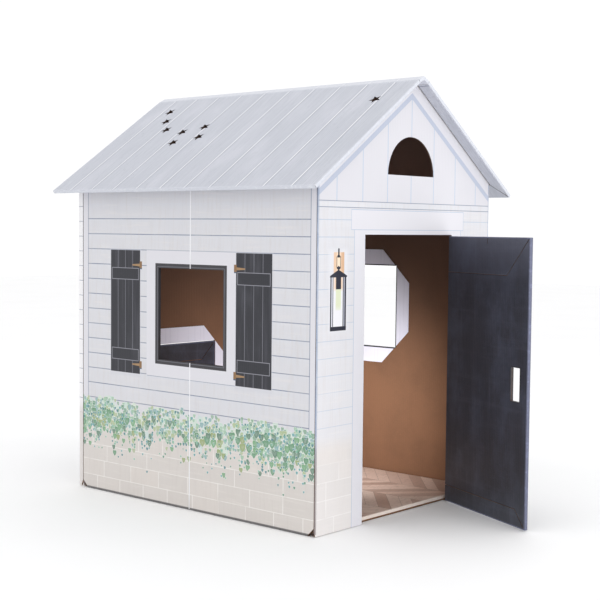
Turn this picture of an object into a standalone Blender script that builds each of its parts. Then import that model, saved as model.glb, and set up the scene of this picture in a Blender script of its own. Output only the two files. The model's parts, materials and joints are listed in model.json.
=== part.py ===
"""A child's playhouse folded from printed corrugated board.

The walls are a four-sided sleeve that stands on the ground, with a gable at the
front and the back. The roof is a second folded sheet that rests on the gables,
and a folded mat lies on the bottom flaps as the floor. Every panel between two
creases is an object of its own. Metres, +Z up, and the origin is the middle of
the footprint on the ground. The front wall faces -Y.
"""

import math

import bmesh
import bpy
from mathutils import Matrix, Vector

# Board
BOARD = 0.0045
GAP = 0.0003
LAYER_GAP = 0.0005
LINING_OFFSET = BOARD + LAYER_GAP

# Walls
WALL_WIDTH = 0.800
WALL_DEPTH = 0.940
WALL_HEIGHT = 0.945
GABLE_RISE = 0.278
FOOT_NOTCH = 0.022
SHOULDER_NOTCH = 0.006

# Side windows, each centred on its wall's middle crease
WINDOW_WIDTH = 0.262
WINDOW_SILL = 0.420
WINDOW_HEAD = 0.684
HEM_DEPTH = 0.052
HEM_CORNER = 0.0015

# Doorway and arch in the front wall
DOORWAY_WIDTH = 0.408
DOORWAY_HEIGHT = 0.786
ARCH_RADIUS = 0.107
ARCH_SILL = 0.951
ARCH_STEPS = 20

# Front door, hinged on the crease at the right of the doorway
DOOR_OPEN_DEG = 66.0
DOOR_WIDTH = 0.4045
DOOR_BOTTOM = 0.003
DOOR_TOP = 0.783
DOOR_TOP_HEM = 0.104
DOOR_BOTTOM_HEM = 0.048
LEAF_SEAM = 0.0012
LEAF_CLEARANCE = 0.0012
GRIP_WIDTH = 0.041
GRIP_HEIGHT = 0.091
GRIP_FROM_EDGE = 0.036
GRIP_BOTTOM = 0.342
LOCK_SLIT_WIDTH = 0.0016
LOCK_SLIT_LENGTH = 0.019

# Hatch in the back wall
HATCH_WIDTH = 0.322
HATCH_HEIGHT = 0.420
HATCH_JAMB_FOOT = 0.0225
HATCH_CLEARANCE = 0.002
HATCH_BOTTOM = 0.003
HATCH_TOP_HEM = 0.060
HATCH_BOTTOM_HEM = 0.040

# Roof
RIDGE_PITCH_DEG = 27.0
RIDGE_HALF_WIDTH = 0.024
EAVE_REACH = 0.0605
FRONT_REACH = 0.040
BACK_REACH = 0.072
VERGE_HEM = 0.0365
EAVE_CLEARANCE = 0.0018
STAR_RADIUS = 0.0195
STAR_INNER_RADIUS = 0.0088
# Each star: distance in front of (-) or behind (+) the middle, distance down from the ridge
STARS = (
    (0.423, 0.105),
    (0.386, 0.167),
    (0.337, 0.221),
    (0.247, 0.242),
    (0.171, 0.218),
    (0.147, 0.277),
    (0.235, 0.303),
    (-0.418, 0.124),
)

# Floor
END_FLAP_LENGTH = 0.090
FLAP_TAPER = 0.030
FLAP_SETBACK = 0.012
MAT_CLEARANCE = 0.007
MAT_FOLD = 0.070

# Flap left standing out at the rear left corner
CORNER_FLAP_WIDTH = 0.030
CORNER_FLAP_TAPER = 0.006
CORNER_FLAP_SLANT = 0.032
CORNER_FLAP_ANGLE_DEG = 14.0

HALF_WIDTH = WALL_WIDTH / 2
HALF_DEPTH = WALL_DEPTH / 2
PITCH = math.atan2(GABLE_RISE, HALF_WIDTH)
RIDGE_PITCH = math.radians(RIDGE_PITCH_DEG)
PLANE_RIDGE = WALL_HEIGHT + GABLE_RISE + (BOARD + GAP) / math.cos(PITCH)
CREASE_HEIGHT = PLANE_RIDGE - RIDGE_HALF_WIDTH * math.tan(PITCH)
RIDGE_HEIGHT = CREASE_HEIGHT + RIDGE_HALF_WIDTH * math.tan(RIDGE_PITCH)
SLOPE_START = RIDGE_HALF_WIDTH / math.cos(PITCH)
SLOPE_LENGTH = (HALF_WIDTH + EAVE_REACH - RIDGE_HALF_WIDTH) / math.cos(PITCH)
ROOF_FRONT = -(HALF_DEPTH + FRONT_REACH)
ROOF_BACK = HALF_DEPTH + BACK_REACH

# Turns that stand a flat board up as a wall facing front, right, back or left
FACING = {"front": 0.0, "right": math.pi / 2, "back": math.pi, "left": -math.pi / 2}


def clear_scene():
    for old in list(bpy.data.objects):
        bpy.data.objects.remove(old, do_unlink=True)


def new_collection(name):
    collection = bpy.data.collections.new(name)
    bpy.context.scene.collection.children.link(collection)
    return collection


def make_material(name, colour, roughness):
    material = bpy.data.materials.new(name)
    material.use_nodes = True
    shader = material.node_tree.nodes["Principled BSDF"]
    shader.inputs["Base Color"].default_value = (*colour, 1.0)
    shader.inputs["Roughness"].default_value = roughness
    shader.inputs["Metallic"].default_value = 0.0
    material.diffuse_color = (*colour, 1.0)
    return material


COLOURS = {
    "siding": ((0.80, 0.80, 0.82), 0.62),
    "kraft": ((0.44, 0.26, 0.14), 0.85),
    "roof": ((0.60, 0.61, 0.66), 0.55),
    "charcoal": ((0.05, 0.05, 0.06), 0.60),
    "hem": ((0.72, 0.70, 0.78), 0.62),
    "planks": ((0.38, 0.30, 0.25), 0.65),
}


def make_empty(name, location, rotation, parent=None):
    """An empty that marks a wall's outer face or a joint's axis."""
    empty = bpy.data.objects.new(name, None)
    empty.empty_display_size = 0.05
    empty.location = location
    empty.rotation_euler = rotation
    empty.parent = parent
    PARTS.objects.link(empty)
    return empty


def flat_curve(name, outlines, thickness):
    """A filled 2D curve. Its first outline is the edge and the others are holes."""
    curve = bpy.data.curves.new(name, "CURVE")
    curve.dimensions = "2D"
    curve.fill_mode = "BOTH"
    curve.extrude = thickness / 2
    for outline in outlines:
        spline = curve.splines.new("POLY")
        spline.points.add(len(outline) - 1)
        for point, (x, y) in zip(spline.points, outline):
            point.co = (x, y, 0.0, 1.0)
        spline.use_cyclic_u = True
    return curve


def make_board(name, outlines, parent, depth, colour, mitres=()):
    """One flat board. depth is how far its upper face lies under its parent's plane.

    mitres are planes, each a point and an outward direction, that cut its ends.
    """
    curve = flat_curve(name, outlines, BOARD)
    holder = bpy.data.objects.new(name + "_outline", curve)
    PARTS.objects.link(holder)
    graph = bpy.context.evaluated_depsgraph_get()
    mesh = bpy.data.meshes.new_from_object(holder.evaluated_get(graph))
    bpy.data.objects.remove(holder, do_unlink=True)
    bpy.data.curves.remove(curve)
    mesh.name = name
    build = bmesh.new()
    build.from_mesh(mesh)
    bmesh.ops.remove_doubles(build, verts=build.verts, dist=1e-6)
    bmesh.ops.translate(build, verts=build.verts, vec=(0.0, 0.0, -depth - BOARD / 2))
    for point, direction in mitres:
        cut_end(build, point, direction)
    bmesh.ops.recalc_face_normals(build, faces=build.faces)
    build.to_mesh(mesh)
    build.free()
    mesh.materials.clear()
    mesh.materials.append(MATERIALS[colour])
    board = bpy.data.objects.new(name, mesh)
    board.parent = parent
    PARTS.objects.link(board)
    return board


def cut_end(build, point, direction):
    """Cuts a board off at a slanted plane and closes the end."""
    everything = build.verts[:] + build.edges[:] + build.faces[:]
    cut = bmesh.ops.bisect_plane(
        build, geom=everything, dist=1e-7, plane_co=point, plane_no=direction, clear_outer=True
    )
    edges = [item for item in cut["geom_cut"] if isinstance(item, bmesh.types.BMEdge)]
    bmesh.ops.edgenet_fill(build, edges=edges)


def corner_mitre(x_end):
    """The 45 degree plane at a wall's vertical corner, at x_end on its outer face."""
    side = math.copysign(1.0, x_end)
    direction = Vector((side, 0.0, -1.0)).normalized()
    return (Vector((x_end, 0.0, 0.0)) - direction * GAP / 2, direction)


def mirrored(outline):
    return [(-x, y) for x, y in outline]


def arc(centre, radius, start, end, steps):
    """Points on an arc, with both of its ends."""
    turns = [start + (end - start) * step / steps for step in range(steps + 1)]
    return [(centre[0] + radius * math.cos(t), centre[1] + radius * math.sin(t)) for t in turns]


def star(centre, outer, inner):
    points = []
    for step in range(10):
        turn = math.pi * step / 5
        reach = outer if step % 2 == 0 else inner
        points.append((centre[0] + reach * math.cos(turn), centre[1] + reach * math.sin(turn)))
    return points


def rectangle(x0, y0, x1, y1):
    return [(x0, y0), (x1, y0), (x1, y1), (x0, y1)]


def hem(start, end, depth, near_slant=1.0, far_slant=1.0):
    """A folded edge strip on the line from start to end, narrowing away from it to the left."""
    start, end = Vector(start), Vector(end)
    along = (end - start).normalized()
    across = Vector((-along.y, along.x))
    inset_start = start + across * depth + along * depth * near_slant
    inset_end = end + across * depth - along * depth * far_slant
    return [tuple(start), tuple(end), tuple(inset_end), tuple(inset_start)]


# ---------------------------------------------------------------- walls


def gable_outline():
    """Points of a gable's top, from the right shoulder over the peak to the left shoulder."""
    clear = GAP / math.cos(RIDGE_PITCH)
    peak = RIDGE_HEIGHT - BOARD / math.cos(RIDGE_PITCH) - clear
    slope_peak = WALL_HEIGHT + GABLE_RISE
    knee = (slope_peak - peak) / (math.tan(PITCH) - math.tan(RIDGE_PITCH))
    knee_height = slope_peak - knee * math.tan(PITCH)
    right = [
        (HALF_WIDTH, WALL_HEIGHT - SHOULDER_NOTCH),
        (HALF_WIDTH - SHOULDER_NOTCH, WALL_HEIGHT + SHOULDER_NOTCH * math.tan(PITCH)),
        (knee, knee_height),
    ]
    return right + [(0.0, peak)] + mirrored(right)[::-1]


def make_front_wall():
    half_door = DOORWAY_WIDTH / 2
    outline = [
        (-HALF_WIDTH, 0.0),
        (-half_door, 0.0),
        (-half_door, DOORWAY_HEIGHT),
        (half_door, DOORWAY_HEIGHT),
        (half_door, 0.0),
        (HALF_WIDTH, 0.0),
        *gable_outline(),
    ]
    arch = arc((0.0, ARCH_SILL), ARCH_RADIUS, 0.0, math.pi, ARCH_STEPS)
    make_board("front_wall", [outline, arch], WALLS["front"], 0.0, "siding", [corner_mitre(HALF_WIDTH)])


def make_back_wall():
    half_hatch = HATCH_WIDTH / 2
    outline = [
        (-HALF_WIDTH, 0.0),
        (-half_hatch, 0.0),
        (-half_hatch, HATCH_HEIGHT),
        (half_hatch, HATCH_HEIGHT),
        (half_hatch, 0.0),
        (HALF_WIDTH, 0.0),
        *gable_outline(),
    ]
    mitres = [corner_mitre(HALF_WIDTH), corner_mitre(-HALF_WIDTH)]
    make_board("back_wall", [outline], WALLS["back"], 0.0, "siding", mitres)
    frame = WALLS["back"]
    reach = HEM_CORNER
    top = hem((-half_hatch + reach, HATCH_HEIGHT + GAP), (half_hatch - reach, HATCH_HEIGHT + GAP), HEM_DEPTH)
    make_board("back_opening_hem_top", [top], frame, LINING_OFFSET, "hem")
    side = hem((half_hatch + GAP, HATCH_HEIGHT - reach), (half_hatch + GAP, HATCH_JAMB_FOOT), HEM_DEPTH)
    make_board("back_opening_hem_left", [side], frame, LINING_OFFSET, "hem")
    make_board("back_opening_hem_right", [mirrored(side)], frame, LINING_OFFSET, "hem")


def side_wall_outline(end):
    """Half of a side wall, from its middle crease out to a corner at end."""
    start = GAP / 2
    half_window = WINDOW_WIDTH / 2
    return [
        (start, 0.0),
        (end - FOOT_NOTCH, 0.0),
        (end, FOOT_NOTCH),
        (end, WALL_HEIGHT),
        (start, WALL_HEIGHT),
        (start, WINDOW_HEAD),
        (half_window, WINDOW_HEAD),
        (half_window, WINDOW_SILL),
        (start, WINDOW_SILL),
    ]


def make_side_wall(side):
    """The two halves of a side wall and the hems folded in behind its window."""
    frame = WALLS[side]
    half_window = WINDOW_WIDTH / 2
    start = GAP / 2
    reach = HEM_CORNER
    head = hem((start, WINDOW_HEAD + GAP), (half_window - reach, WINDOW_HEAD + GAP), HEM_DEPTH, 0.0, 1.0)
    sill = hem((half_window - reach, WINDOW_SILL - GAP), (start, WINDOW_SILL - GAP), HEM_DEPTH, 1.0, 0.0)
    jamb_line = half_window + GAP
    jamb = hem((jamb_line, WINDOW_HEAD - reach), (jamb_line, WINDOW_SILL + reach), HEM_DEPTH)
    # Seen from outside, the front of the left wall is on its right, and of the right wall on its left.
    front_sign = 1.0 if side == "left" else -1.0
    for half, sign in (("front", front_sign), ("rear", -front_sign)):
        butted = side == "left" and half == "front"
        end = HALF_DEPTH - BOARD - GAP if butted else HALF_DEPTH
        mitres = [] if butted else [corner_mitre(sign * HALF_DEPTH)]
        turn = (lambda outline: outline) if sign > 0 else mirrored
        wall = turn(side_wall_outline(end))
        make_board(f"{side}_wall_{half}", [wall], frame, 0.0, "siding", mitres)
        for part, outline in (("head", head), ("sill", sill), ("jamb", jamb)):
            name = f"{side}_window_hem_{part}_{half}"
            make_board(name, [turn(outline)], frame, LINING_OFFSET, "hem")


def make_corner_flap():
    """The lap flap that stands out behind the rear left corner, with a slanted top."""
    turn = math.radians(CORNER_FLAP_ANGLE_DEG)
    axis = make_empty(
        "corner_flap_axis",
        (-HALF_WIDTH + BOARD, HALF_DEPTH + GAP * 2, 0.0),
        (math.pi / 2, 0.0, FACING["left"] - turn),
    )
    root = -GAP
    outline = [
        (root, FOOT_NOTCH),
        (root, WALL_HEIGHT - CORNER_FLAP_SLANT),
        (-CORNER_FLAP_WIDTH, WALL_HEIGHT - SHOULDER_NOTCH),
        (-CORNER_FLAP_WIDTH + CORNER_FLAP_TAPER, 0.0),
        (root - FOOT_NOTCH / 2, 0.0),
    ]
    make_board("rear_left_corner_flap", [outline], axis, -BOARD, "siding")


# ---------------------------------------------------------------- door and hatch


def make_leaf(name, axis, far, bottom, top, foot_hem, head_hem, holes=(), slit=None):
    """A swinging leaf: a board with a head hem, a foot hem and a lining folded over its inner face.

    far is its free edge. holes go through the board and the lining. slit is the width and the
    length of a cut down the middle of the head hem.
    """
    near = -LEAF_CLEARANCE
    seam = LEAF_SEAM / 2
    head_line = top - head_hem
    foot_line = bottom + foot_hem
    make_board(f"{name}_panel", [rectangle(far, bottom, near, top), *holes], axis, 0.0, "charcoal")
    cut = []
    if slit:
        middle = (near + far) / 2
        right, left = middle + slit[0] / 2, middle - slit[0] / 2
        cut = [(right, top), (right, top - slit[1]), (left, top - slit[1]), (left, top)]
    head = [
        (near, head_line + seam),
        (near, top),
        *cut,
        (far + seam * 2, top),
        (far + head_hem + seam, head_line + seam),
    ]
    foot = [
        (far + seam * 2, bottom),
        (near, bottom),
        (near, foot_line - seam),
        (far + foot_hem + seam, foot_line - seam),
    ]
    lining = [
        (far, top - seam * 2),
        (far, bottom + seam * 2),
        (far + foot_hem, foot_line + seam),
        (near, foot_line + seam),
        (near, head_line - seam),
        (far + head_hem, head_line - seam),
    ]
    make_board(f"{name}_hem_top", [head], axis, LINING_OFFSET, "charcoal")
    make_board(f"{name}_hem_bottom", [foot], axis, LINING_OFFSET, "charcoal")
    make_board(f"{name}_lining", [lining, *holes], axis, LINING_OFFSET, "charcoal")


def make_front_door():
    """The tall leaf, standing open, with a slot for a hand near its free edge."""
    heading = math.radians(DOOR_OPEN_DEG)
    hinge = (DOORWAY_WIDTH / 2, -HALF_DEPTH, 0.0)
    axis = make_empty("front_door_axis", hinge, (math.pi / 2, 0.0, heading))
    grip_far = -DOOR_WIDTH + GRIP_FROM_EDGE
    grip = rectangle(grip_far, GRIP_BOTTOM, grip_far + GRIP_WIDTH, GRIP_BOTTOM + GRIP_HEIGHT)
    slit = (LOCK_SLIT_WIDTH, LOCK_SLIT_LENGTH)
    hems = (DOOR_BOTTOM_HEM, DOOR_TOP_HEM)
    make_leaf("door", axis, -DOOR_WIDTH, DOOR_BOTTOM, DOOR_TOP, *hems, holes=[grip], slit=slit)


def make_back_hatch():
    """The low leaf in the back wall, closed. Its crease is at its right, seen from behind."""
    hinge = (-HATCH_WIDTH / 2, HALF_DEPTH, 0.0)
    axis = make_empty("back_hatch_axis", hinge, (math.pi / 2, 0.0, math.pi))
    far = -HATCH_WIDTH + HATCH_CLEARANCE
    top = HATCH_HEIGHT - HATCH_CLEARANCE
    make_leaf("hatch", axis, far, HATCH_BOTTOM, top, HATCH_BOTTOM_HEM, HATCH_TOP_HEM)


# ---------------------------------------------------------------- floor


def flap_outline(length, root, reach, recess=0.0, recess_half=0.0):
    """A bottom flap with slanted ends. Local Y runs inwards from the wall, from root to reach."""
    half = length / 2
    outer = [(-half, root)]
    if recess:
        outer += [
            (-recess_half, root),
            (-recess_half, root + recess),
            (recess_half, root + recess),
            (recess_half, root),
        ]
    outer.append((half, root))
    return outer + [(half - FLAP_TAPER, reach), (-half + FLAP_TAPER, reach)]


def make_bottom_flaps():
    """Four flaps folded in along the ground. The side ones are long and meet in the middle.

    The front and back ones are cut back where their leaf closes.
    """
    root = GAP * 2
    corner = BOARD + FLAP_SETBACK
    across = WALL_WIDTH - 2 * corner
    along = WALL_DEPTH - 2 * (corner + END_FLAP_LENGTH)
    leaves = {"front": DOORWAY_WIDTH / 2 + LEAF_CLEARANCE, "back": HATCH_WIDTH / 2 + LEAF_CLEARANCE}
    for side, heading in FACING.items():
        reach = HALF_DEPTH if side in leaves else HALF_WIDTH
        outward = Vector((math.sin(heading), -math.cos(heading), 0.0))
        axis = make_empty(f"{side}_flap_axis", outward * (reach - BOARD), (0.0, 0.0, heading))
        if side in leaves:
            outline = flap_outline(across, root, root + END_FLAP_LENGTH, FLAP_SETBACK, leaves[side])
        else:
            outline = flap_outline(along, root, HALF_WIDTH - BOARD - GAP * 2)
        make_board(f"{side}_bottom_flap", [outline], axis, -BOARD, "kraft")


def make_floor_mat():
    """The mat rests on the flaps. A strip along its front is folded under."""
    bottom = BOARD + GAP
    half_x = HALF_WIDTH - BOARD - MAT_CLEARANCE
    half_y = HALF_DEPTH - BOARD - MAT_CLEARANCE - LINING_OFFSET
    strip = make_empty("floor_mat_axis", (0.0, 0.0, bottom + LINING_OFFSET), (0.0, 0.0, 0.0))
    make_board("floor_mat", [rectangle(-half_x, -half_y, half_x, half_y)], strip, -BOARD, "planks")
    under = rectangle(-half_x, -half_y, half_x, -half_y + MAT_FOLD)
    make_board("floor_mat_front_fold", [under], strip, LAYER_GAP, "planks")
    rear = rectangle(-half_x, half_y - MAT_FOLD, half_x, half_y)
    make_board("floor_mat_rear_fold", [rear], strip, LAYER_GAP, "planks")


# ---------------------------------------------------------------- roof


def crease_plane(fold):
    """The plane that mitres a board at its upper crease, for half of the fold's angle."""
    direction = Vector((-math.cos(fold), 0.0, -math.sin(fold)))
    return (-direction * GAP / 2, direction)


def lower_crease_plane(length, fold):
    direction = Vector((math.cos(fold), 0.0, -math.sin(fold)))
    return (Vector((length, 0.0, 0.0)) - direction * GAP / 2, direction)


def oriented(outline, side):
    """Roof outlines use (down the slope, towards the back); the left half's Y runs forwards."""
    return [(x, y * side) for x, y in outline]


def make_roof_half(name, side):
    """A slope, its ridge band and the hems folded under them. side is +1 on the right."""
    heading = 0.0 if side > 0 else math.pi
    crease = make_empty(
        f"{name}_slope_axis",
        (side * RIDGE_HALF_WIDTH, 0.0, CREASE_HEIGHT),
        (0.0, PITCH, heading),
    )
    ridge = make_empty(f"{name}_ridge_axis", (0.0, 0.0, RIDGE_HEIGHT), (0.0, RIDGE_PITCH, heading))
    half_fold = (PITCH - RIDGE_PITCH) / 2
    upper = [crease_plane(half_fold)]
    # Room at the upper end for the mitre to cut
    start = -BOARD
    panel = rectangle(start, ROOF_FRONT, SLOPE_LENGTH, ROOF_BACK)
    holes = []
    if side < 0:
        holes = [star((down - SLOPE_START, y), STAR_RADIUS, STAR_INNER_RADIUS) for y, down in STARS]
    outlines = [oriented(outline, side) for outline in [panel] + holes]
    make_board(f"roof_{name}_slope", outlines, crease, 0.0, "roof", upper)

    # The eave hem stops short of the side wall, measured at its lower inner corner.
    lining_bottom = LINING_OFFSET + BOARD
    wall_at = HALF_WIDTH + EAVE_CLEARANCE + lining_bottom * math.sin(PITCH)
    eave_hem = SLOPE_LENGTH - (wall_at - RIDGE_HALF_WIDTH) / math.cos(PITCH)
    seam = LEAF_SEAM
    eave = [
        (SLOPE_LENGTH, ROOF_FRONT + seam),
        (SLOPE_LENGTH, ROOF_BACK - seam),
        (SLOPE_LENGTH - eave_hem, ROOF_BACK - seam - VERGE_HEM),
        (SLOPE_LENGTH - eave_hem, ROOF_FRONT + seam + VERGE_HEM),
    ]
    make_board(f"roof_{name}_eave_hem", [oriented(eave, side)], crease, LINING_OFFSET, "roof")
    front = [
        (start, ROOF_FRONT),
        (SLOPE_LENGTH - seam * 2, ROOF_FRONT),
        (SLOPE_LENGTH - eave_hem - seam, ROOF_FRONT + VERGE_HEM),
        (start, ROOF_FRONT + VERGE_HEM),
    ]
    rear = [
        (start, ROOF_BACK),
        (start, ROOF_BACK - VERGE_HEM),
        (SLOPE_LENGTH - eave_hem - seam, ROOF_BACK - VERGE_HEM),
        (SLOPE_LENGTH - seam * 2, ROOF_BACK),
    ]
    band_length = RIDGE_HALF_WIDTH / math.cos(RIDGE_PITCH)
    band_mitres = [crease_plane(RIDGE_PITCH), lower_crease_plane(band_length, half_fold)]
    end = band_length + BOARD
    band = rectangle(start, ROOF_FRONT, end, ROOF_BACK)
    make_board(f"ridge_band_{name}", [oriented(band, side)], ridge, 0.0, "roof", band_mitres)
    for where, outline, line in (("front", front, ROOF_FRONT), ("rear", rear, ROOF_BACK)):
        verge = [oriented(outline, side)]
        make_board(f"roof_{name}_{where}_hem", verge, crease, LINING_OFFSET, "roof", upper)
        inner = line + math.copysign(VERGE_HEM, -line)
        strip = [oriented(rectangle(start, min(line, inner), end, max(line, inner)), side)]
        make_board(f"ridge_{name}_{where}_hem", strip, ridge, LINING_OFFSET, "roof", band_mitres)


clear_scene()
PARTS = new_collection("cardboard_playhouse")
MATERIALS = {name: make_material(name, colour, rough) for name, (colour, rough) in COLOURS.items()}
WALLS = {}
for wall_side, wall_heading in FACING.items():
    distance = HALF_DEPTH if wall_side in ("front", "back") else HALF_WIDTH
    place = Matrix.Rotation(wall_heading, 3, "Z") @ Vector((0.0, -distance, 0.0))
    WALLS[wall_side] = make_empty(f"{wall_side}_wall_face", place, (math.pi / 2, 0.0, wall_heading))

make_front_wall()
make_back_wall()
for wall_side in ("left", "right"):
    make_side_wall(wall_side)
make_corner_flap()
make_front_door()
make_back_hatch()
make_bottom_flaps()
make_floor_mat()
make_roof_half("right", 1)
make_roof_half("left", -1)
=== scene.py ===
"""Looks of the printed cardboard playhouse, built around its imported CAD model.

Each CAD slab is replaced by real corrugated board: a printed liner, a fluted core and a kraft
liner. Folded edges get the bend of the paper, and the prints are drawn by shader nodes in
metres, in the house's own frame: +Z up, the front wall facing -Y.
"""

import json
import math

import bpy
import numpy as np
from mathutils import Matrix, Vector
from mathutils.geometry import tessellate_polygon


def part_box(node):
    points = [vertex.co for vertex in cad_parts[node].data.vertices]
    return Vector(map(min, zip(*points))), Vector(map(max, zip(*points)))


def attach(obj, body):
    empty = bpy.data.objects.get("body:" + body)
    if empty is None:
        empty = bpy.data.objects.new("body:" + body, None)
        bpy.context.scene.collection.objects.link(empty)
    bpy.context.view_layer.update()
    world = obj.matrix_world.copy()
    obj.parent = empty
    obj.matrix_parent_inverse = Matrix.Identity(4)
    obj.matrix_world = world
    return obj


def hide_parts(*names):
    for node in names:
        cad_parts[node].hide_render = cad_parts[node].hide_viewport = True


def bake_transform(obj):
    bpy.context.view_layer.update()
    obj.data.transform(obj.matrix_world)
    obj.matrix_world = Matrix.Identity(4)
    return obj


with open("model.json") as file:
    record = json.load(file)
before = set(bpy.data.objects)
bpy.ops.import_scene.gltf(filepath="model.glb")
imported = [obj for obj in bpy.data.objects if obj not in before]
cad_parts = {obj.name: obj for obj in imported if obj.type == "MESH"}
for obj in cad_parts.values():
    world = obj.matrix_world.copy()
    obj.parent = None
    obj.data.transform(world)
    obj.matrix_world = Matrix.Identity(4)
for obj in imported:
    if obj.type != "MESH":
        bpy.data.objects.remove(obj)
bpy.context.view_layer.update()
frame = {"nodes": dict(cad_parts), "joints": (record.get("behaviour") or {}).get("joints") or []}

# ---------------------------------------------------------------- places, from the frame

WALL_LOW, WALL_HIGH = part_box("front_wall")
HALF_WIDTH = WALL_HIGH.x
FRONT = WALL_LOW.y
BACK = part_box("back_wall")[1].y
WALL_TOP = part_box("right_wall_rear")[1].z
BOARD = WALL_HIGH.y - WALL_LOW.y
DOUBLED = 2 * BOARD + 0.0005

JOINTS = {joint["name"]: joint for joint in frame["joints"]}
DOOR_HINGE = Vector(JOINTS["front_door_hinge"]["pos_m"])
DOOR_OPEN = -math.radians(JOINTS["front_door_hinge"]["range_deg"][0])
HATCH_HINGE = Vector(JOINTS["back_hatch_hinge"]["pos_m"])
CORNER_FLAP_TURN = -math.radians(JOINTS["corner_flap_crease"]["range_deg"][0])
DOOR_REACH = {
    "door": (DOOR_HINGE.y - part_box("door_panel")[0].y) / math.sin(DOOR_OPEN),
    "hatch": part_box("hatch_panel")[1].x - HATCH_HINGE.x,
}

ROOF_PITCH = math.radians(34.8)
ROOF_LOW, ROOF_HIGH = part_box("roof_right_slope")
EAVE = ROOF_HIGH.x
SLOPE_CREASE = Vector(JOINTS["right_slope_fold"]["pos_m"])
RIDGE = Vector(JOINTS["ridge_fold"]["pos_m"])
EAVE_HEIGHT = SLOPE_CREASE.z - (EAVE - SLOPE_CREASE.x) * math.tan(ROOF_PITCH)
RIDGE_PLANE = SLOPE_CREASE.z + SLOPE_CREASE.x * math.tan(ROOF_PITCH)

# A window hem stops HEM_CORNER short of the opening's corners and stands HEM_GAP behind its edge
HEM_CORNER = 0.0015
HEM_GAP = 0.0003
JAMB_LOW, JAMB_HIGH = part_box("left_window_hem_jamb_front")
WINDOW_SILL = JAMB_LOW.z - HEM_CORNER
WINDOW_HEAD = JAMB_HIGH.z + HEM_CORNER
WINDOW_HALF = -JAMB_HIGH.y - HEM_GAP

EDGE_INSET = 0.0004
LINER = 0.00035
FLUTE_PITCH = 0.0076
FLUTE_STEPS = 8


def rgb(red, green, blue):
    """An sRGB colour, 0 to 255, as a linear one."""
    linear = [((c / 255 + 0.055) / 1.055) ** 2.4 if c > 10 else c / 3294.6 for c in (red, green, blue)]
    return (*linear, 1.0)


# ---------------------------------------------------------------- prints


class Field:
    """A number that varies over a surface, held by a chain of Math nodes."""

    def __init__(self, ink, value):
        self.ink = ink
        self.value = value

    def math(self, operation, *others, clamp=False):
        node = self.ink.nodes.new("ShaderNodeMath")
        node.operation = operation
        node.use_clamp = clamp
        for socket, term in zip(node.inputs, (self, *others)):
            self.ink.feed(socket, term)
        return Field(self.ink, node.outputs[0])

    def __add__(self, other):
        return self.math("ADD", other)

    def __sub__(self, other):
        return self.math("SUBTRACT", other)

    def __rsub__(self, other):
        return (self * -1.0) + other

    def __mul__(self, other):
        return self.math("MULTIPLY", other)

    __radd__ = __add__
    __rmul__ = __mul__

    def most(self, other):
        return self.math("MAXIMUM", other)

    def size(self):
        return self.math("ABSOLUTE")

    def clamped(self):
        return self.math("ADD", 0.0, clamp=True)

    def edge(self, soft):
        """1 where the field is above zero and 0 below, with an edge soft wide."""
        return self.math("MULTIPLY_ADD", 1 / soft, 0.5, clamp=True)

    def rise(self, low, high):
        """0 below low and 1 above high, smooth between."""
        node = self.ink.nodes.new("ShaderNodeMapRange")
        node.interpolation_type = "SMOOTHSTEP"
        self.ink.feed(node.inputs["Value"], self)
        node.inputs["From Min"].default_value = low
        node.inputs["From Max"].default_value = high
        return Field(self.ink, node.outputs["Result"])

    def within(self, low, high, soft=0.0004):
        """1 between low and high."""
        middle, half = (low + high) / 2, (high - low) / 2
        distance = (self - middle).size()
        return (half - distance).edge(soft)

    def lines(self, first, spacing, half_width, soft=0.0004):
        """1 on evenly spaced lines."""
        distance = (self - first).math("PINGPONG", spacing / 2)
        return (half_width - distance).edge(soft)


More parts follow.
